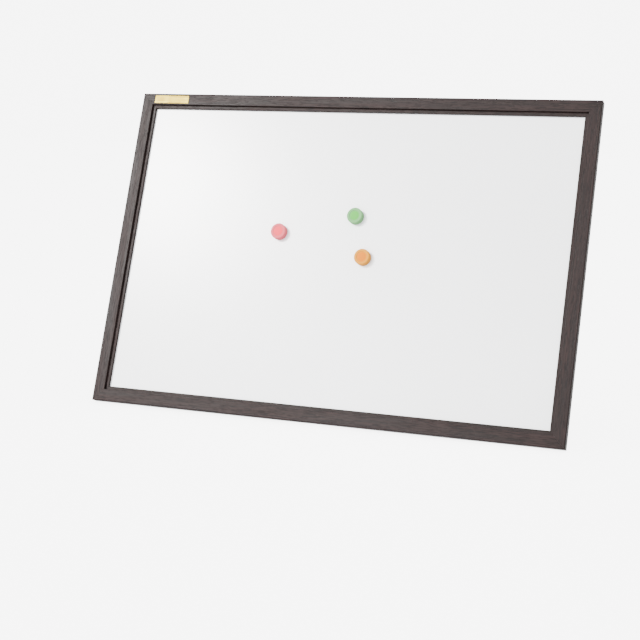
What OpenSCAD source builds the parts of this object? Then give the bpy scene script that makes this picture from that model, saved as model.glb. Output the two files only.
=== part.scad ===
// Magnetic desk whiteboard that stands on its own back-hinged wire leg.
// The board leans back, the leg is a wide V of bent wire, and a chain holds the two apart.
// Board frame: x across, y from the front face to the back, z up the board from its lower edge.
// Row frame: x across, y from front to back, z up, origin at the middle of the floor outline.

/* [Board] */
// Outer width of the frame
board_w = 472; // [340:1:620]
// Outer height of the frame, measured along the board
board_h = 322; // [260:1:420]
// How far the board leans back from upright, in degrees
lean = 20; // [16:1:24]

/* [Rails] */
// Width of a rail as seen from the front
rail_face = 15.3; // [14:0.1:20]
// Width of the flat outer band of a rail
rail_flat = 11.8; // [9:0.1:12]
// Thickness of a rail from front to back
rail_thick = 10; // [10:0.5:16]
// Drop from the flat band to the inner lip
step_depth = 2.5; // [1.5:0.1:4]
// Depth from the front of the frame to the writing face
panel_depth = 5; // [4.5:0.1:6.2]
// Width of the rabbet that holds the panel
rabbet = 4.8; // [3:0.1:5]
// Radius of the outer front edge
edge_round = 0.9; // [0.4:0.1:1.5]
// Radius of the step and lip edges
lip_round = 0.4; // [0.2:0.1:0.6]
// Chamfer of the back edge
back_chamfer = 0.5; // [0.2:0.1:1]
// Glue gap at each face of a mitre
mitre_gap = 0.04; // [0.02:0.01:0.1]

/* [Panel] */
// Thickness of the enamelled steel sheet
steel_t = 0.4; // [0.3:0.1:0.8]
// Thickness of the core board
core_t = 2.2; // [1.8:0.1:2.5]
// Thickness of the back sheet
sheet_t = 0.5; // [0.3:0.1:0.6]
// Gap between the panel and the rabbet wall
panel_gap = 0.5; // [0.3:0.1:1]

/* [Fixings] */
// Leg length of a corner nail
nail_leg = 4; // [3:0.5:5]
// Thickness of a corner nail
nail_t = 0.5; // [0.4:0.1:0.8]
// How deep a corner nail is driven
nail_depth = 6; // [4:0.5:7]
// Width of a panel tab
tab_w = 9; // [6:0.5:12]
// Thickness of a panel tab
tab_t = 0.5; // [0.4:0.1:0.6]
// Length of a tab in the rail
tab_in = 4; // [3:0.5:5]
// Length of a tab over the back sheet
tab_over = 7; // [5:0.5:10]
// Length of the label plate
label_w = 38; // [20:1:60]
// Height of the label plate
label_h = 8; // [5:0.5:9]
// Thickness of the label plate
label_t = 0.3; // [0.2:0.1:0.5]
// Distance from the frame's corner to the label plate
label_x = 14; // [12:0.5:30]

/* [Leg] */
// Diameter of the leg wire
wire_d = 2.5; // [2:0.1:3]
// Height of the hinge above the lower edge, measured along the board
hinge_h = 255; // [150:1:258]
// Lean of the leg back from upright when the chain is taut, in degrees
leg_lean = 19.6; // [14:0.1:26]
// Length of the narrow toe
toe_len = 29; // [24:1:40]
// Spacing of the two wires of the toe, centre to centre
toe_gap = 4.5; // [4:0.1:4.8]
// Bend radius of the elbows and the neck
bend_r = 4; // [3:0.5:8]
// Radial running clearance of the wire in its knuckle
pivot_fit = 0.05; // [0.02:0.01:0.1]
// Thickness of a hinge strap
strap_t = 1; // [0.6:0.1:1.4]
// Width of a hinge strap and its knuckle
strap_w = 8; // [6:0.5:9]
// Length of a hinge strap below the pivot
strap_len = 17; // [14:0.5:24]
// Diameter of a strap screw's head
head_d = 4.2; // [3.5:0.1:5]
// Diameter of a strap screw's shank
shank_d = 2; // [1.6:0.1:2.4]
// Length of a strap screw in the wood
screw_len = 6.5; // [5:0.5:7]

/* [Chain] */
// Height of the screw eye above the lower edge, measured along the board
eye_h = 7.5; // [6:0.5:9]
// Wire diameter of the screw eye
eye_wire = 1.6; // [1.2:0.1:1.8]
// Inside diameter of the screw eye
eye_hole = 3.8; // [3.6:0.1:5]
// Length of the screw eye's shank in the wood
eye_screw = 6.5; // [5:0.5:7]
// Outer length of a chain link
link_len = 9; // [8:0.1:12]
// Outer width of a chain link
link_w = 5.4; // [5.2:0.1:6.4]
// Wire diameter of a chain link
link_wire = 1.2; // [1:0.1:1.3]
// Least play between two links
link_play = 0.05; // [0.03:0.01:0.2]
// Outside diameter of the neck ring
ring_d = 12; // [12:0.1:14]
// Wire diameter of the neck ring
ring_wire = 1.2; // [1:0.1:1.4]
// Play between the toe and the neck ring
ring_play = 0.1; // [0.05:0.01:0.3]
// Distance from the neck bend down to the ring
ring_drop = 1.5; // [1:0.5:4]
// Outer length of the hook's loop
hook_len = 10; // [9:0.5:14]
// Outer width of the hook's loop
hook_w = 6; // [5.4:0.1:7]
// Wire diameter of the hook
hook_wire = 1.4; // [1.2:0.1:1.6]
// Diameter of the gate's pivot pin
gate_pin_d = 0.8; // [0.6:0.1:1]

/* [Magnets] */
// Diameter of a magnet's cap
magnet_d = 15.5; // [12:0.5:20]
// Height of a magnet's cap
magnet_h = 6; // [5.5:0.5:9]
// Wall of a magnet's cap
cap_wall = 1.4; // [1:0.1:2]
// Height of the ferrite disc
disc_h = 4; // [2.5:0.1:4.2]
// Depth of the dish in the cap's face
cap_dish = 0.4; // [0.2:0.1:0.6]
// Rounding of the cap's rim
cap_round = 1; // [0.5:0.1:1.5]
// Gap between a magnet and the writing face
magnet_gap = 0.05; // [0.02:0.01:0.1]

/* [Hidden] */
$fn = 48;

wood = "#5c4b48";
brass = "#a59a6c";
arc_steps = 4;
cut_past = 1;

// Places of the magnets: across the board from its middle, and up from its lower edge
pink_at = [-63.7, 182.6];
green_at = [12.4, 201.8];
orange_at = [25.3, 161.8];

// Corner nail seats, measured from the frame's outer edge, and how far their tops are sunk
nail_seats = [0.32, 0.7] * (rail_face - rabbet);
nail_sink = 0.2;
fit_gap = 0.03;
edge_tabs = [-0.36, -0.13, 0.13, 0.36] * board_w;
side_tabs = [-0.27, 0.06] * board_h;

// Rail section: first number is the distance in from the outer edge, second the depth
rabbet_wall = rail_face - rabbet;
function arc_points(cx, cy, r, from, to) = [
    for (i = [0:arc_steps]) let (a = from + (to - from) * i / arc_steps) [cx + r * cos(a), cy + r * sin(a)]
];
rail_section = concat(
    arc_points(edge_round, edge_round, edge_round, 180, 270),
    arc_points(rail_flat - lip_round, lip_round, lip_round, 270, 360),
    [[rail_flat, step_depth]],
    arc_points(rail_face - lip_round, step_depth + lip_round, lip_round, 270, 360),
    [[rail_face, panel_depth], [rabbet_wall, panel_depth]],
    [[rabbet_wall, rail_thick], [back_chamfer, rail_thick], [0, rail_thick - back_chamfer]]
);

// Row frame places of a point of the board, before the board is set on the floor
function lean_y(y, z) = y * cos(lean) + z * sin(lean);
function lean_z(y, z) = z * cos(lean) - y * sin(lean);

// The lowest edge of the bottom rail stands on the floor
board_z0 = -min([for (p = rail_section) lean_z(p[1], p[0])]);

// Leg: the pivot lies in the knuckle, which rests against the back of the rail,
// and the leg is as long as the middle of its wire runs from the pivot to the toe
wire_r = wire_d / 2;
knuckle_r = wire_r + pivot_fit + strap_t;
hinge_back = rail_thick + knuckle_r;
hinge_z = board_z0 + lean_z(hinge_back, hinge_h);
leg_len = (hinge_z - wire_r) / cos(leg_lean);

// The floor outline is centred on the row frame's origin
front_y = min([for (p = rail_section) lean_y(p[1], p[0])]);
rear_y = lean_y(hinge_back, hinge_h) + leg_len * sin(leg_lean) + wire_r;
board_y0 = -(front_y + rear_y) / 2;
hinge_y = board_y0 + lean_y(hinge_back, hinge_h);

// Panel
panel_w = board_w - 2 * (rabbet_wall + panel_gap);
panel_h = board_h - 2 * (rabbet_wall + panel_gap);
core_y = panel_depth + steel_t;
sheet_y = core_y + core_t;
tab_y = sheet_y + sheet_t;

// Hinge straps sit in the middle of the wood behind the side rails
strap_x = board_w / 2 - rabbet_wall / 2;
head_h = 1;
screw_at = [0.42, 0.8] * strap_len;

// Leg wire, drawn in its own plane with the pivot at the origin
toe_half = toe_gap / 2;
neck_w = leg_len - toe_len;
pin_past = 0.7;
elbow_x = strap_x - strap_w / 2 - 0.5;
pin_tip = strap_x + strap_w / 2 + pin_past;
strand_rise = [elbow_x - toe_half - bend_r, neck_w - bend_r];
strand_angle = atan2(strand_rise[0], strand_rise[1]);
strand_run = norm(strand_rise);
joint_bead = 0.01;

// Screw eye and the line of the chain, as [y, z] in the row frame
eye_major = (eye_hole + eye_wire) / 2;
eye_stem = 1.2;
eye_out = eye_stem + eye_major + eye_wire / 2;
eye_at = [
    board_y0 + lean_y(rail_thick + eye_out, eye_h),
    board_z0 + lean_z(rail_thick + eye_out, eye_h)
];
ring_major = (ring_d - ring_wire) / 2;
toe_reach = sqrt(pow(ring_major - ring_wire / 2 - wire_r - ring_play, 2) - pow(toe_half, 2));
ring_w = neck_w + ring_drop;
leg_down = [sin(leg_lean), -cos(leg_lean)];
leg_front = [-cos(leg_lean), -sin(leg_lean)];
ring_at = [hinge_y, hinge_z] + ring_w * leg_down + toe_reach * leg_front;
ring_grip = ring_at + ring_major * leg_front;
chain_line = ring_grip - eye_at;
chain_run = norm(chain_line);
chain_rise = atan2(chain_line[1], chain_line[0]);

// Along the chain: hook eye, hook loop, last link and first link
hook_eye_hole = ring_wire + 0.8;
hook_eye_wire = 1.2;
hook_eye_major = (hook_eye_hole + hook_eye_wire) / 2;
hook_eye_s = chain_run - (hook_eye_hole - ring_wire) / 2 + link_play;
hook_arc = (hook_w - hook_wire) / 2;
hook_side = hook_len - hook_w;
hook_stem = 1.6;
hook_back_s = -(hook_eye_major + hook_stem + hook_arc);
hook_front_s = hook_back_s - hook_side;
link_arc = (link_w - link_wire) / 2;
link_half = (link_len - link_w) / 2;
link_hole = link_len - 2 * link_wire;
first_s = (eye_hole - link_wire) / 2 - link_play + link_half + link_arc;
last_s = hook_eye_s + hook_front_s - hook_arc - (link_hole - hook_wire) / 2 + link_play;
link_pairs = ceil((last_s - first_s) / (link_hole - link_play) / 2);
link_count = 2 * link_pairs + 1;
link_pitch = (last_s - first_s) / (link_count - 1);

// Hook gate
gate_fit = 0.05;
pin_seat = 0.02;
cheek_t = 0.45;
gate_wire = 1;
knuckle_w = gate_wire + 0.1;
gate_gap = 0.12;
knob_d = 1.5;
knob_h = 1.1;
cheek_r = 1.1;
cheek_x = knuckle_w / 2 + gate_fit;
knob_s = -(cheek_r + knob_d / 2 + 0.15);

module on_board() {
    translate([0, board_y0, board_z0])
        rotate([-lean, 0, 0])
            children();
}

// Moves a rail drawn along x, with its outer edge at z = 0, to one side of the frame
module on_side(side) {
    if (side == "bottom")
        children();
    if (side == "top")
        translate([0, 0, board_h]) rotate([0, 180, 0]) children();
    if (side == "right")
        translate([board_w / 2, 0, board_h / 2]) rotate([0, -90, 0]) children();
    if (side == "left")
        translate([-board_w / 2, 0, board_h / 2]) rotate([0, 90, 0]) children();
}

module rail_blank(length) {
    half = length / 2 - mitre_gap * sqrt(2);
    intersection() {
        rotate([0, -90, 0])
            linear_extrude(length, center = true)
                polygon(rail_section);
        translate([0, rail_thick / 2, 0])
            rotate([90, 0, 0])
                linear_extrude(rail_thick + 2 * cut_past, center = true)
                    polygon([[-half, 0], [half, 0], [half - rail_face, rail_face], [rail_face - half, rail_face]]);
    }
}

// Two V nails across the mitre at the right end of a rail
module corner_vees(length, grow) {
    for (seat = nail_seats)
        translate([length / 2 - seat, rail_thick - nail_sink - nail_depth - grow, seat]) {
            translate([-nail_leg - grow, 0, -nail_t / 2 - grow])
                cube([nail_leg + nail_t / 2 + 2 * grow, nail_depth + (grow > 0 ? cut_past : 0), nail_t + 2 * grow]);
            translate([-nail_t / 2 - grow, 0, -nail_t / 2 - grow])
                cube([nail_t + 2 * grow, nail_depth + (grow > 0 ? cut_past : 0), nail_leg + nail_t / 2 + 2 * grow]);
        }
}

module end_vees(length, grow) {
    corner_vees(length, grow);
    mirror([1, 0, 0]) corner_vees(length, grow);
}

module tab_row(places, grow) {
    for (x = places)
        translate([x - tab_w / 2 - grow, tab_y - grow, rabbet_wall - tab_in - grow])
            cube([tab_w + 2 * grow, tab_t + 2 * grow, tab_in + panel_gap + tab_over + 2 * grow]);
}

module rail(side, length, places) {
    color(wood)
        on_board()
            difference() {
                on_side(side)
                    difference() {
                        rail_blank(length);
                        end_vees(length, fit_gap);
                        tab_row(places, fit_gap);
                    }
                strap_screw_set(fit_gap);
                eye_shank(fit_gap);
            }
}

module top_rail() {
    rail("top", board_w, edge_tabs);
}

module bottom_rail() {
    rail("bottom", board_w, edge_tabs);
}

module left_rail() {
    rail("left", board_h, -side_tabs);
}

module right_rail() {
    rail("right", board_h, side_tabs);
}

module corner_nails() {
    color("silver")
        on_board()
            for (side = ["bottom", "top"])
                on_side(side) end_vees(board_w, 0);
}

module panel_layer(y, thickness) {
    translate([-panel_w / 2, y, (board_h - panel_h) / 2])
        cube([panel_w, thickness, panel_h]);
}

module steel_face() {
    color("#f3f4f6") on_board() panel_layer(panel_depth, steel_t);
}

module core_board() {
    color("#b08d5f") on_board() panel_layer(core_y, core_t);
}

module back_sheet() {
    color("#8c6a48") on_board() panel_layer(sheet_y, sheet_t);
}

module panel_tabs() {
    color("silver")
        on_board() {
            on_side("bottom") tab_row(edge_tabs, 0);
            on_side("top") tab_row(edge_tabs, 0);
            on_side("left") tab_row(-side_tabs, 0);
            on_side("right") tab_row(side_tabs, 0);
        }
}

// Bare foil plate on the flat band of the top rail
module label_plate() {
    corner = 0.6;
    color("#cdbf86")
        on_board()
            translate([-board_w / 2 + label_x, 0, board_h - (rail_flat + edge_round) / 2 - label_h / 2])
                rotate([90, 0, 0])
                    linear_extrude(label_t)
                        translate([corner, corner])
                            offset(corner)
                                square([label_w - 2 * corner, label_h - 2 * corner]);
}

// Strap with a rolled knuckle, drawn around the pivot at the origin
module hinge_strap(side) {
    color(brass)
        on_board()
            translate([side * strap_x, hinge_back, hinge_h])
                difference() {
                    union() {
                        translate([-strap_w / 2, -knuckle_r, -strap_len])
                            cube([strap_w, strap_t, strap_len]);
                        rotate([0, 90, 0])
                            cylinder(h = strap_w, r = knuckle_r, center = true);
                    }
                    rotate([0, 90, 0])
                        cylinder(h = strap_w + 2 * cut_past, r = wire_r + pivot_fit, center = true);
                    for (drop = screw_at)
                        translate([0, -knuckle_r - cut_past, -drop])
                            rotate([-90, 0, 0])
                                cylinder(h = strap_t + 2 * cut_past, d = shank_d + 2 * fit_gap);
                }
}

module left_hinge_strap() {
    hinge_strap(-1);
}

module right_hinge_strap() {
    hinge_strap(1);
}

// Four pan-headed screws, each with its shank in the rail
module strap_screw_set(grow) {
    for (side = [-1, 1], drop = screw_at)
        translate([side * strap_x, rail_thick, hinge_h - drop])
            rotate([90, 0, 0]) {
                translate([0, 0, grow > 0 ? -cut_past : -strap_t])
                    cylinder(h = (grow > 0 ? cut_past : strap_t) + screw_len - shank_d / 2, d = shank_d + 2 * grow);
                translate([0, 0, screw_len - shank_d / 2])
                    cylinder(h = shank_d / 2 + grow, d1 = shank_d + 2 * grow, d2 = shank_d * 0.3);
            }
}

module strap_screws() {
    slot_w = 0.7;
    color("#b9ae84")
        on_board() {
            strap_screw_set(0);
            for (side = [-1, 1], drop = screw_at)
                translate([side * strap_x, rail_thick + strap_t, hinge_h - drop])
                    rotate([-90, 0, 0])
                        difference() {
                            cylinder(h = head_h, d1 = head_d, d2 = head_d * 0.8);
                            translate([0, 0, head_h])
                                cube([head_d + 1, slot_w, head_h], center = true);
                        }
        }
}

// A bend in the xz plane that starts at -x and turns clockwise as seen from the front
module leg_bend(sweep) {
    rotate([-90, 0, 0])
        rotate([0, 0, 180])
            rotate_extrude(angle = sweep)
                translate([bend_r, 0])
                    circle(d = wire_d);
}

// A straight length, with a bead that closes its joint with the bend before it
module leg_rod(length) {
    sphere(r = wire_r + joint_bead);
    translate([0, 0, 2 * joint_bead])
        cylinder(h = length - 2 * joint_bead, d = wire_d);
}

// Right half from the toe up; each length is placed in the frame of the bend before it
module leg_half() {
    translate([toe_half, 0, toe_half - leg_len])
        cylinder(h = toe_len - toe_half, d = wire_d);
    translate([toe_half + bend_r, 0, -neck_w]) {
        leg_bend(strand_angle);
        rotate([0, strand_angle, 0]) {
            translate([-bend_r, 0, 0])
                leg_rod(strand_run);
            translate([0, 0, strand_run]) {
                leg_bend(90 - strand_angle);
                rotate([0, 90 - strand_angle, 0])
                    translate([-bend_r, 0, 0])
                        leg_rod(pin_tip - elbow_x);
            }
        }
    }
}

// One length of wire: pivot, strand, narrow toe, strand and pivot
module wire_leg() {
    color(brass)
        translate([0, hinge_y, hinge_z])
            rotate([leg_lean, 0, 0]) {
                leg_half();
                mirror([1, 0, 0]) leg_half();
                translate([0, 0, toe_half - leg_len])
                    rotate([-90, 0, 0])
                        rotate_extrude(angle = 180)
                            translate([toe_half, 0])
                                circle(d = wire_d);
            }
}

// The screw eye's shank in the bottom rail, drawn in the board frame
module eye_shank(grow) {
    point = 1.5;
    translate([0, rail_thick, eye_h])
        rotate([90, 0, 0]) {
            translate([0, 0, grow > 0 ? -cut_past : 0])
                cylinder(h = (grow > 0 ? cut_past : 0) + eye_screw - point, d = eye_wire + 2 * grow);
            translate([0, 0, eye_screw - point])
                cylinder(h = point + grow, d1 = eye_wire + 2 * grow, d2 = eye_wire * 0.25);
        }
}

module screw_eye() {
    color(brass)
        on_board() {
            eye_shank(0);
            translate([0, rail_thick, eye_h])
                rotate([-90, 0, 0])
                    cylinder(h = eye_stem + eye_wire / 2, d = eye_wire);
            translate([0, rail_thick + eye_out, eye_h])
                rotate([90, 0, 90])
                    rotate_extrude()
                        translate([eye_major, 0])
                            circle(d = eye_wire);
        }
}

// Places its children on the chain's line, with y along the chain from the screw eye
module on_chain(s) {
    translate([0, eye_at[0], eye_at[1]])
        rotate([chain_rise, 0, 0])
            translate([0, s, 0])
                children();
}

// An oval link in the xy plane, its length along y
module oval_link() {
    for (end = [0, 1])
        rotate([0, 0, 180 * end]) {
            translate([0, link_half, 0])
                rotate_extrude(angle = 180)
                    translate([link_arc, 0])
                        circle(d = link_wire, $fn = 24);
            translate([link_arc, link_half, 0])
                rotate([90, 0, 0])
                    cylinder(h = 2 * link_half, d = link_wire, $fn = 24);
        }
}

module chain_links() {
    color(brass)
        for (i = [0:link_count - 1])
            on_chain(first_s + i * link_pitch)
                rotate([0, i % 2 * 90, 0])
                    oval_link();
}

// An arc of the hook in the yz plane, its angles measured from +y towards +z
module hook_bend(s, from, sweep) {
    translate([0, s, 0])
        rotate([90, 0, 90])
            rotate([0, 0, from])
                rotate_extrude(angle = sweep)
                    translate([hook_arc, 0])
                        circle(d = hook_wire);
}

// Spring hook: an eye for the neck ring, and a loop whose upper side is the gate
module snap_hook() {
    bend_end = 52;
    color(brass)
        on_chain(hook_eye_s)
            difference() {
                union() {
                    rotate([90, 0, 90])
                        rotate_extrude()
                            translate([hook_eye_major, 0])
                                circle(d = hook_eye_wire);
                    translate([0, -hook_eye_major, 0])
                        rotate([90, 0, 0])
                            cylinder(h = hook_stem, d = hook_wire);
                    hook_bend(hook_back_s, -90, 90 + bend_end);
                    hook_bend(hook_front_s, 90, 180);
                    translate([0, hook_back_s, -hook_arc])
                        rotate([90, 0, 0])
                            cylinder(h = hook_side, d = hook_wire);
                    for (side = [-1, 1])
                        translate([side * (cheek_x + cheek_t / 2), hook_back_s, hook_arc]) {
                            rotate([0, 90, 0])
                                cylinder(h = cheek_t, r = cheek_r, center = true);
                            translate([-cheek_t / 2, 0, -cheek_r])
                                cube([cheek_t, hook_arc * 0.8, 1.3 * cheek_r]);
                        }
                }
                translate([0, hook_back_s, hook_arc])
                    rotate([0, 90, 0])
                        cylinder(h = 4 * cheek_r, d = gate_pin_d + 2 * pin_seat, center = true);
            }
}

// Sprung gate of the hook, with a thumb knob on its outside
module hook_gate() {
    tip = hook_side - gate_gap;
    color(brass)
        on_chain(hook_eye_s)
            translate([0, hook_back_s, hook_arc])
                difference() {
                    union() {
                        rotate([0, 90, 0])
                            cylinder(h = knuckle_w, r = cheek_r - 0.15, center = true);
                        rotate([90, 0, 0])
                            cylinder(h = tip, d = gate_wire);
                        translate([0, knob_s, 0])
                            cylinder(h = gate_wire / 2 + knob_h, d = knob_d);
                        translate([0, knob_s, gate_wire / 2 + knob_h])
                            sphere(d = knob_d);
                    }
                    rotate([0, 90, 0])
                        cylinder(h = 2 * knuckle_w, d = gate_pin_d + 2 * gate_fit, center = true);
                }
}

module gate_pin() {
    color("silver")
        on_chain(hook_eye_s)
            translate([0, hook_back_s, hook_arc])
                rotate([0, 90, 0])
                    cylinder(h = 2 * (cheek_x + cheek_t), d = gate_pin_d, center = true);
}

// Round ring square to the toe, drawn back against both of its wires
module neck_ring() {
    color(brass)
        translate([0, ring_at[0], ring_at[1]])
            rotate([leg_lean, 0, 0])
                rotate_extrude()
                    translate([ring_major, 0])
                        circle(d = ring_wire);
}

// Places its children on the writing face, with z out towards the front
module on_face(at) {
    on_board()
        translate([at[0], panel_depth - magnet_gap, at[1]])
            rotate([90, 0, 0])
                children();
}

module magnet_cap(at, tint) {
    r = magnet_d / 2;
    seat_r = r - cap_wall;
    dish_r = 0.62 * r;
    color(tint)
        on_face(at)
            rotate_extrude($fn = 64)
                polygon(concat(
                    [[0, disc_h], [seat_r, disc_h], [seat_r, 0], [r, 0]],
                    arc_points(r - cap_round, magnet_h - cap_round, cap_round, 0, 90),
                    [[dish_r + cap_dish, magnet_h], [dish_r, magnet_h - cap_dish]],
                    [[dish_r * 0.6, magnet_h - cap_dish * 0.45], [0, magnet_h - cap_dish * 0.25]]
                ));
}

module magnet_disc(at) {
    color("#3a3a3d")
        on_face(at)
            cylinder(h = disc_h, r = magnet_d / 2 - cap_wall - fit_gap, $fn = 64);
}

module pink_magnet_cap() {
    magnet_cap(pink_at, "#e9a3ac");
}

module pink_magnet_disc() {
    magnet_disc(pink_at);
}

module green_magnet_cap() {
    magnet_cap(green_at, "#a3cf9f");
}

module green_magnet_disc() {
    magnet_disc(green_at);
}

module orange_magnet_cap() {
    magnet_cap(orange_at, "#efb45e");
}

module orange_magnet_disc() {
    magnet_disc(orange_at);
}

top_rail();
bottom_rail();
left_rail();
right_rail();
corner_nails();
steel_face();
core_board();
back_sheet();
panel_tabs();
label_plate();
left_hinge_strap();
right_hinge_strap();
strap_screws();
wire_leg();
screw_eye();
chain_links();
snap_hook();
hook_gate();
gate_pin();
neck_ring();
pink_magnet_cap();
pink_magnet_disc();
green_magnet_cap();
green_magnet_disc();
orange_magnet_cap();
orange_magnet_disc();
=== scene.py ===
from math import cos, radians, sin

import bmesh
import bpy
from mathutils import Euler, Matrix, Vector


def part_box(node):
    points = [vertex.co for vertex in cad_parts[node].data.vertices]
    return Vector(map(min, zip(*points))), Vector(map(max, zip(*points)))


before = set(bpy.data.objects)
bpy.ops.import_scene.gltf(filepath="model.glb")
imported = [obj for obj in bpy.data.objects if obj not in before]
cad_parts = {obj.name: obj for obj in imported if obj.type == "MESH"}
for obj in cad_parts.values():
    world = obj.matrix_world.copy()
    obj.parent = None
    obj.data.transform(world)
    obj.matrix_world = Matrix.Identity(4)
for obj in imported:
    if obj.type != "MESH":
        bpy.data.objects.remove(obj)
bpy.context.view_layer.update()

# The board leans back by this much; its grain, brushing and gloss follow its own axes
LEAN = radians(20)
FRONT = Vector((0, -cos(LEAN), sin(LEAN)))

# A millimetre in metres
MM = 0.001


# Camera: a long lens a little above the table, to the right of the board, tipped a hair to one side.
# Its place is in metres, its turns in degrees, its lens and sensor in millimetres.
CAMERA_PLACE = (0.4438, -1.2449, 0.2899)
CAMERA_TURNS = (81.276, -1.091, 20.999)
LENS = 76.18
SENSOR_WIDTH = 36
FARTHEST_SEEN = 60


def photo_camera():
    data = bpy.data.cameras.new("photo_camera")
    data.sensor_width = SENSOR_WIDTH
    data.lens = LENS
    data.clip_end = FARTHEST_SEEN
    camera = bpy.data.objects.new("photo_camera", data)
    camera.location = CAMERA_PLACE
    camera.rotation_euler = Euler([radians(turn) for turn in CAMERA_TURNS])
    bpy.context.collection.objects.link(camera)
    bpy.context.scene.camera = camera


# Material tools

def linear(hex_colour):
    """Turns an sRGB hex colour into the linear RGBA that a shader takes."""
    parts = [int(hex_colour[i:i + 2], 16) / 255 for i in (1, 3, 5)]
    return [p / 12.92 if p <= 0.04045 else ((p + 0.055) / 1.055) ** 2.4 for p in parts] + [1]


def add(tree, kind, inputs=None, steps=(), **settings):
    """Adds a node with its settings, its inputs as values or as links from other sockets, and,
    for a ramp, its steps of (position, hex colour)."""
    made = tree.nodes.new(kind)
    for name, value in settings.items():
        setattr(made, name, value)
    for _ in steps[2:]:
        made.color_ramp.elements.new(0.5)
    for index, (position, colour) in enumerate(steps):
        made.color_ramp.elements[index].position = position
        made.color_ramp.elements[index].color = linear(colour)
    for socket, value in (inputs or {}).items():
        if isinstance(value, bpy.types.NodeSocket):
            tree.links.new(value, made.inputs[socket])
        else:
            made.inputs[socket].default_value = value
    return made


def new_material(name):
    material = bpy.data.materials.new(name)
    material.use_nodes = True
    material.node_tree.nodes.clear()
    return material, material.node_tree


def close_material(tree, shader):
    add(tree, "ShaderNodeOutputMaterial", {"Surface": shader.outputs[0]})


def cells(tree, size_mm, turn=0.0):
    """Object coordinates counted in pattern cells of the given size, in axes turned about X."""
    place = add(tree, "ShaderNodeTexCoord")
    turned = add(tree, "ShaderNodeMapping",
                 {"Vector": place.outputs["Object"], "Rotation": (turn, 0, 0), "Scale": (1 / MM,) * 3})
    counted = add(tree, "ShaderNodeVectorMath",
                  {0: turned.outputs[0], 1: [1 / size for size in size_mm]}, operation="MULTIPLY")
    return counted.outputs[0]


# Wood-print foil wrapped round a moulding: satin, with pressed pores, its grain along the rail.
# The fibres are really about 0.4 mm wide and are drawn wider so that they show.
def oak_print_foil(name, along):
    material, tree = new_material(name)

    def grain_cells(width, length):
        size = [width] * 3
        size[along] = length
        return cells(tree, size, LEAN)

    fibre, cloud, pore = (
        add(tree, "ShaderNodeTexNoise",
            {"Vector": grain_cells(width, length), "Scale": 1, "Detail": detail, "Roughness": 0.6,
             "Distortion": 0.1}).outputs["Fac"]
        for width, length, detail in ((0.9, 40, 4), (5.5, 90, 2), (0.7, 9, 1)))
    tone = add(tree, "ShaderNodeMix", {"Factor": 0.42, "A": fibre, "B": cloud}, data_type="FLOAT")
    printed = add(tree, "ShaderNodeValToRGB", {"Fac": tone.outputs[0]},
                  [(0.32, "#120b0a"), (0.47, "#19100f"), (0.56, "#201615"), (0.72, "#281d1c")])
    sunk = add(tree, "ShaderNodeMapRange", {"Value": pore, "From Min": 0.38, "From Max": 0.45})
    shade = add(tree, "ShaderNodeMix",
                {"Factor": sunk.outputs[0], "A": linear("#110b0b"), "B": printed.outputs["Color"]},
                data_type="RGBA")
    height = add(tree, "ShaderNodeMath", {0: fibre, 1: 0.35, 2: sunk.outputs[0]},
                 operation="MULTIPLY_ADD")
    relief = add(tree, "ShaderNodeBump",
                 {"Height": height.outputs[0], "Strength": 0.5, "Distance": 0.10 * MM})
    gloss = add(tree, "ShaderNodeMapRange",
                {"Value": cloud, "From Min": 0.3, "From Max": 0.7, "To Min": 0.38, "To Max": 0.52})
    shader = add(tree, "ShaderNodeBsdfPrincipled",
                 {"Base Color": shade.outputs["Result"], "Roughness": gloss.outputs[0],
                  "Normal": relief.outputs[0], "IOR": 1.45, "Specular IOR Level": 0.12})
    close_material(tree, shader)
    return material


# White enamel on steel sheet: a smooth film with a broad soft gloss, over a fine orange peel
# about 2.5 mm across
def white_enamel():
    material, tree = new_material("white_enamel_on_steel")
    peel = add(tree, "ShaderNodeTexNoise",
               {"Vector": cells(tree, (2.5, 2.5, 2.5), LEAN), "Scale": 1, "Detail": 1})
    drift = add(tree, "ShaderNodeTexNoise",
                {"Vector": cells(tree, (140, 140, 140), LEAN), "Scale": 1, "Detail": 1})
    white = add(tree, "ShaderNodeValToRGB", {"Fac": drift.outputs["Fac"]},
                [(0.3, "#e6e7e9"), (0.7, "#ecedef")])
    gloss = add(tree, "ShaderNodeMapRange",
                {"Value": drift.outputs["Fac"], "From Min": 0.3, "From Max": 0.7,
                 "To Min": 0.40, "To Max": 0.46})
    ripple = add(tree, "ShaderNodeBump",
                 {"Height": peel.outputs["Fac"], "Strength": 0.08, "Distance": 0.02 * MM})
    shader = add(tree, "ShaderNodeBsdfPrincipled",
                 {"Base Color": white.outputs["Color"], "Roughness": gloss.outputs[0],
                  "Normal": ripple.outputs[0], "IOR": 1.5,
                  "Coat Weight": 0.7, "Coat Roughness": 0.24, "Coat IOR": 1.6})
    close_material(tree, shader)
    return material


# Raw fibreboard: short pale and dark fibres about 1.5 mm long, no shine
def raw_fibreboard():
    material, tree = new_material("raw_fibreboard")
    fibre = add(tree, "ShaderNodeTexNoise",
                {"Vector": cells(tree, (1.5, 0.5, 1.2), LEAN), "Scale": 1, "Detail": 5})
    colour = add(tree, "ShaderNodeValToRGB", {"Fac": fibre.outputs["Fac"]},
                 [(0.3, "#8d6f48"), (0.7, "#b89a6c")])
    relief = add(tree, "ShaderNodeBump",
                 {"Height": fibre.outputs["Fac"], "Strength": 0.4, "Distance": 0.1 * MM})
    shader = add(tree, "ShaderNodeBsdfPrincipled",
                 {"Base Color": colour.outputs["Color"], "Roughness": 0.88, "Normal": relief.outputs[0]})
    close_material(tree, shader)
    return material


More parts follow.
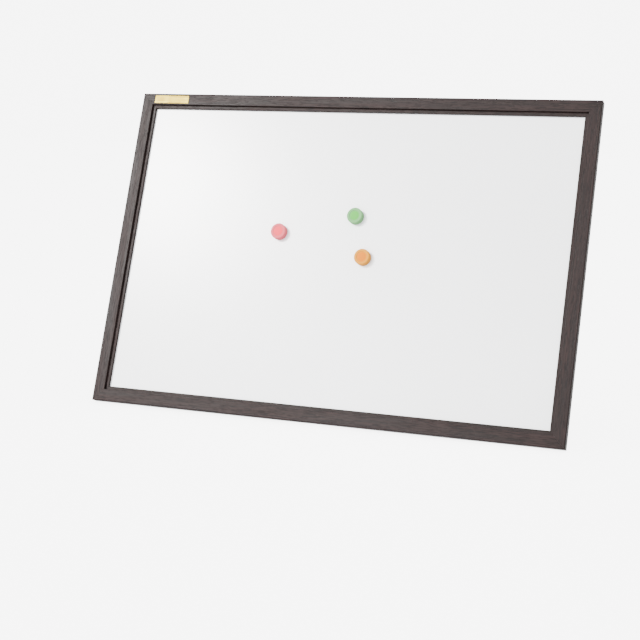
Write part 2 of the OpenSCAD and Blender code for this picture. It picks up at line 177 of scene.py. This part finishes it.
# Pressed hardboard: brown, with fine flecks about 3 mm long and slow stains about 70 mm across
def pressed_hardboard():
    material, tree = new_material("pressed_hardboard")
    fleck = add(tree, "ShaderNodeTexNoise",
                {"Vector": cells(tree, (3, 1, 1.6), LEAN), "Scale": 1, "Detail": 6, "Roughness": 0.65})
    stain = add(tree, "ShaderNodeTexNoise",
                {"Vector": cells(tree, (70, 70, 70), LEAN), "Scale": 1, "Detail": 2})
    tone = add(tree, "ShaderNodeMix",
               {"Factor": 0.3, "A": fleck.outputs["Fac"], "B": stain.outputs["Fac"]}, data_type="FLOAT")
    colour = add(tree, "ShaderNodeValToRGB", {"Fac": tone.outputs[0]},
                 [(0.3, "#3f2e21"), (0.5, "#5c4634"), (0.7, "#755b45")])
    relief = add(tree, "ShaderNodeBump",
                 {"Height": fleck.outputs["Fac"], "Strength": 0.35, "Distance": 0.08 * MM})
    shader = add(tree, "ShaderNodeBsdfPrincipled",
                 {"Base Color": colour.outputs["Color"], "Roughness": 0.62, "Normal": relief.outputs[0]})
    close_material(tree, shader)
    return material


# Plated wire and fittings: a metal skin that dulls in spots a millimetre or two across.
# The dullest spots are rougher than the rest, the brightest a little smoother.
def plated_metal(name, bright, dull, roughness, spot_mm=1.6):
    dullest = roughness + 0.14
    brightest = roughness - 0.06
    material, tree = new_material(name)
    tarnish = add(tree, "ShaderNodeTexNoise",
                  {"Vector": cells(tree, (spot_mm,) * 3), "Scale": 1, "Detail": 3})
    drift = add(tree, "ShaderNodeTexNoise", {"Vector": cells(tree, (18,) * 3), "Scale": 1, "Detail": 2})
    tone = add(tree, "ShaderNodeMix",
               {"Factor": 0.45, "A": tarnish.outputs["Fac"], "B": drift.outputs["Fac"]},
               data_type="FLOAT")
    colour = add(tree, "ShaderNodeValToRGB", {"Fac": tone.outputs[0]}, [(0.36, dull), (0.6, bright)])
    gloss = add(tree, "ShaderNodeMapRange",
                {"Value": tone.outputs[0], "From Min": 0.35, "From Max": 0.65,
                 "To Min": dullest, "To Max": brightest})
    relief = add(tree, "ShaderNodeBump",
                 {"Height": tarnish.outputs["Fac"], "Strength": 0.2, "Distance": 0.03 * MM})
    shader = add(tree, "ShaderNodeBsdfPrincipled",
                 {"Base Color": colour.outputs["Color"], "Metallic": 1, "Roughness": gloss.outputs[0],
                  "Normal": relief.outputs[0]})
    close_material(tree, shader)
    return material


# Bronze lacquer baked on stamped steel: dark and satin, rubbed to metal in a few small spots
def bronze_lacquer():
    material, tree = new_material("bronze_lacquer_on_steel")
    grit = add(tree, "ShaderNodeTexNoise", {"Vector": cells(tree, (0.8,) * 3), "Scale": 1, "Detail": 3})
    rub = add(tree, "ShaderNodeTexNoise", {"Vector": cells(tree, (3.5,) * 3), "Scale": 1, "Detail": 4})
    worn = add(tree, "ShaderNodeMapRange",
               {"Value": rub.outputs["Fac"], "From Min": 0.62, "From Max": 0.70, "To Max": 0.6})
    lacquer = add(tree, "ShaderNodeValToRGB", {"Fac": grit.outputs["Fac"]},
                  [(0.35, "#2a211d"), (0.65, "#41342d")])
    colour = add(tree, "ShaderNodeMix",
                 {"Factor": worn.outputs[0], "A": lacquer.outputs["Color"], "B": linear("#7b6a55")},
                 data_type="RGBA")
    relief = add(tree, "ShaderNodeBump",
                 {"Height": grit.outputs["Fac"], "Strength": 0.3, "Distance": 0.04 * MM})
    shader = add(tree, "ShaderNodeBsdfPrincipled",
                 {"Base Color": colour.outputs["Result"], "Metallic": worn.outputs[0],
                  "Roughness": 0.42, "Normal": relief.outputs[0]})
    close_material(tree, shader)
    return material


# Zinc on nails and tabs: cold grey with a crystal spangle about 2 mm across
def zinc_plate():
    material, tree = new_material("zinc_plate")
    spangle = add(tree, "ShaderNodeTexVoronoi", {"Vector": cells(tree, (2, 2, 2)), "Scale": 1})
    grey = add(tree, "ShaderNodeRGBToBW", {"Color": spangle.outputs["Color"]})
    colour = add(tree, "ShaderNodeValToRGB", {"Fac": grey.outputs[0]},
                 [(0.2, "#8f9498"), (0.8, "#c2c6c9")])
    gloss = add(tree, "ShaderNodeMapRange", {"Value": grey.outputs[0], "To Min": 0.3, "To Max": 0.48})
    shader = add(tree, "ShaderNodeBsdfPrincipled",
                 {"Base Color": colour.outputs["Color"], "Metallic": 1, "Roughness": gloss.outputs[0]})
    close_material(tree, shader)
    return material


# Pale gold foil plate: brushed along its length. The brush marks are really finer and are drawn
# 0.5 mm apart so that they show.
def brushed_gold():
    material, tree = new_material("brushed_gold_foil")
    brush = add(tree, "ShaderNodeTexNoise",
                {"Vector": cells(tree, (22, 0.5, 0.5), LEAN), "Scale": 1, "Detail": 3})
    sheen = add(tree, "ShaderNodeTexNoise",
                {"Vector": cells(tree, (9, 9, 9), LEAN), "Scale": 1, "Detail": 1})
    tone = add(tree, "ShaderNodeMix",
               {"Factor": 0.4, "A": brush.outputs["Fac"], "B": sheen.outputs["Fac"]}, data_type="FLOAT")
    colour = add(tree, "ShaderNodeValToRGB", {"Fac": tone.outputs[0]},
                 [(0.35, "#6c5814"), (0.5, "#837122"), (0.65, "#9b8b38")])
    relief = add(tree, "ShaderNodeBump",
                 {"Height": brush.outputs["Fac"], "Strength": 0.25, "Distance": 0.03 * MM})
    shader = add(tree, "ShaderNodeBsdfPrincipled",
                 {"Base Color": colour.outputs["Color"], "Metallic": 0.6, "Roughness": 0.42,
                  "Specular IOR Level": 0.2, "Normal": relief.outputs[0]})
    close_material(tree, shader)
    return material


# Moulded ABS caps: the plastic's own deeper colour in the dished middle, a paler, greyer rim whose tone
# is a painted sheen of the room light, and a fine moulded skin
DISH_RADIUS = 3.6 * MM
RIM_RADIUS = 5.6 * MM


def moulded_abs(name, node, middle, rim_colour_with_painted_sheen):
    low, high = (Vector(corner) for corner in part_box(node))
    centre = (low + high) / 2
    material, tree = new_material(name)
    place = add(tree, "ShaderNodeTexCoord")
    offset = add(tree, "ShaderNodeVectorMath", {0: place.outputs["Object"], 1: centre},
                 operation="SUBTRACT")
    across = add(tree, "ShaderNodeVectorMath", {0: offset.outputs[0], 1: FRONT},
                 operation="CROSS_PRODUCT")
    radius = add(tree, "ShaderNodeVectorMath", {0: across.outputs[0]}, operation="LENGTH")
    # From the dish out to the rim the colour turns to the rim's painted sheen
    ring = add(tree, "ShaderNodeMapRange",
               {"Value": radius.outputs["Value"], "From Min": DISH_RADIUS, "From Max": RIM_RADIUS},
               interpolation_type="SMOOTHSTEP")
    skin = add(tree, "ShaderNodeTexNoise",
               {"Vector": cells(tree, (0.6, 0.6, 0.6)), "Scale": 1, "Detail": 2})
    cap_colour_and_rim_sheen = add(tree, "ShaderNodeMix",
                {"Factor": ring.outputs[0], "A": linear(middle), "B": linear(rim_colour_with_painted_sheen)}, data_type="RGBA")
    relief = add(tree, "ShaderNodeBump",
                 {"Height": skin.outputs["Fac"], "Strength": 0.15, "Distance": 0.02 * MM})
    shader = add(tree, "ShaderNodeBsdfPrincipled",
                 {"Base Color": cap_colour_and_rim_sheen.outputs["Result"], "Roughness": 0.46, "IOR": 1.54,
                  "Specular IOR Level": 0.03, "Normal": relief.outputs[0]})
    close_material(tree, shader)
    return material


# Sintered ferrite: dark, dull and slightly gritty
def sintered_ferrite():
    material, tree = new_material("sintered_ferrite")
    grain = add(tree, "ShaderNodeTexNoise",
                {"Vector": cells(tree, (0.5, 0.5, 0.5)), "Scale": 1, "Detail": 4})
    colour = add(tree, "ShaderNodeValToRGB", {"Fac": grain.outputs["Fac"]},
                 [(0.35, "#29292b"), (0.65, "#46464a")])
    relief = add(tree, "ShaderNodeBump",
                 {"Height": grain.outputs["Fac"], "Strength": 0.4, "Distance": 0.05 * MM})
    shader = add(tree, "ShaderNodeBsdfPrincipled",
                 {"Base Color": colour.outputs["Color"], "Roughness": 0.7, "Normal": relief.outputs[0]})
    close_material(tree, shader)
    return material


# White studio paper: matte, with a tooth about 4 mm across
def studio_paper():
    material, tree = new_material("studio_paper")
    tooth = add(tree, "ShaderNodeTexNoise", {"Vector": cells(tree, (4, 4, 4)), "Scale": 1, "Detail": 2})
    colour = add(tree, "ShaderNodeValToRGB", {"Fac": tooth.outputs["Fac"]},
                 [(0.3, "#f4f4f4"), (0.7, "#f8f8f8")])
    shader = add(tree, "ShaderNodeBsdfPrincipled",
                 {"Base Color": colour.outputs["Color"], "Roughness": 0.95})
    close_material(tree, shader)
    return material


# Dressing the carried-over nodes

def dress(material, *nodes):
    for name in nodes:
        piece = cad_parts[name]
        piece.data.materials.clear()
        piece.data.materials.append(material)


def dress_all():
    dress(oak_print_foil("oak_print_foil_lengthwise", 0), "top_rail", "bottom_rail")
    dress(oak_print_foil("oak_print_foil_upright", 2), "left_rail", "right_rail")
    dress(white_enamel(), "steel_face")
    dress(raw_fibreboard(), "core_board")
    dress(pressed_hardboard(), "back_sheet")
    dress(zinc_plate(), "corner_nails", "panel_tabs", "gate_pin")
    dress(brushed_gold(), "label_plate")
    dress(bronze_lacquer(), "left_hinge_strap", "right_hinge_strap")
    dress(plated_metal("dull_brass_plate", "#9a9066", "#6a6140", 0.32),
          "wire_leg", "screw_eye", "chain_links", "snap_hook", "hook_gate", "neck_ring")
    dress(plated_metal("brass_plated_screws", "#c0b585", "#8c8156", 0.26, 0.9), "strap_screws")
    # The second colour of each cap is its rim, greyed by a painted sheen
    dress(moulded_abs("pink_abs", "pink_magnet_cap", "#d4424e", "#c0565f"), "pink_magnet_cap")
    dress(moulded_abs("green_abs", "green_magnet_cap", "#4b9a40", "#639460"), "green_magnet_cap")
    dress(moulded_abs("orange_abs", "orange_magnet_cap", "#c06a00", "#bb7c22"), "orange_magnet_cap")
    dress(sintered_ferrite(), "pink_magnet_disc", "green_magnet_disc", "orange_magnet_disc")


# Studio: a softly lit room with a round key light, whose soft reflection falls on the left of the
# board, an overhead bank, a low fill in front of the board, and a light behind the leg. The white
# paper floor has a bank of its own and throws no light or reflection back on the object.
# Sizes and places are in metres, angles in degrees.
FLOOR_HALF = 9
FLOOR_CELLS = 8
ROOM_LIGHT = 1.9
ROOM_SEEN_BY_CAMERA = 7.2
BANK_SPREAD = radians(40)


def paper_floor():
    mesh = bpy.data.meshes.new("paper_floor")
    shape = bmesh.new()
    bmesh.ops.create_grid(shape, x_segments=FLOOR_CELLS, y_segments=FLOOR_CELLS, size=FLOOR_HALF)
    shape.to_mesh(mesh)
    shape.free()
    mesh.materials.append(studio_paper())
    floor = bpy.data.objects.new("paper_floor", mesh)
    bpy.context.collection.objects.link(floor)
    floor.visible_diffuse = False
    floor.visible_glossy = False
    return floor


def area_light(name, place, target, size, power, colour="#ffffff"):
    data = bpy.data.lights.new(name, "AREA")
    data.shape = "DISK"
    data.size = size
    data.energy = power
    data.color = linear(colour)[:3]
    light = bpy.data.objects.new(name, data)
    light.location = place
    light.rotation_euler = (Vector(target) - Vector(place)).to_track_quat("-Z", "Y").to_euler()
    bpy.context.collection.objects.link(light)
    return light


def lamp_bank(name, tilt, turn, strength):
    data = bpy.data.lights.new(name, "SUN")
    data.energy = strength
    data.angle = BANK_SPREAD
    bank = bpy.data.objects.new(name, data)
    bank.rotation_euler = (radians(tilt), 0, radians(turn))
    bpy.context.collection.objects.link(bank)
    return bank


def only(name, floor, state):
    """A collection that lets a light reach only the floor, or everything but the floor."""
    made = bpy.data.collections.new(name)
    made.objects.link(floor)
    made.collection_objects[0].light_linking.link_state = state
    return made


def studio():
    floor = paper_floor()
    rest = only("all_but_the_floor", floor, "EXCLUDE")
    key = area_light("key_light", place=(-1.18, -1.46, 1.31), target=(-0.1, 0, 0.15), size=0.42,
                     power=85, colour="#fffdfa")
    rear = area_light("rear_light", place=(0.5, 1.8, 1.3), target=(0, 0, 0.15), size=1.2, power=20)
    overhead = lamp_bank("overhead_bank", tilt=60, turn=-25, strength=3.4)
    low = area_light("low_front_fill", place=(-0.1, -0.5, 0.06), target=(0, 0, 0.1), size=0.3,
                     power=1.3)
    for light in (key, rear, overhead, low):
        light.light_linking.receiver_collection = rest
    floor_bank = lamp_bank("floor_bank", tilt=0, turn=0, strength=20)
    floor_bank.light_linking.receiver_collection = only("floor_only", floor, "INCLUDE")
    floor_bank.light_linking.blocker_collection = only("floor_alone_blocks", floor, "INCLUDE")
    world = bpy.data.worlds.new("bright_room")
    world.use_nodes = True
    tree = world.node_tree
    seen = add(tree, "ShaderNodeLightPath")
    level = add(tree, "ShaderNodeMix",
                {"Factor": seen.outputs["Is Camera Ray"], "A": ROOM_LIGHT, "B": ROOM_SEEN_BY_CAMERA},
                data_type="FLOAT")
    tree.links.new(level.outputs[0], tree.nodes["Background"].inputs["Strength"])
    tree.nodes["Background"].inputs["Color"].default_value = linear("#ffffff")
    bpy.context.scene.world = world


photo_camera()
dress_all()
studio()
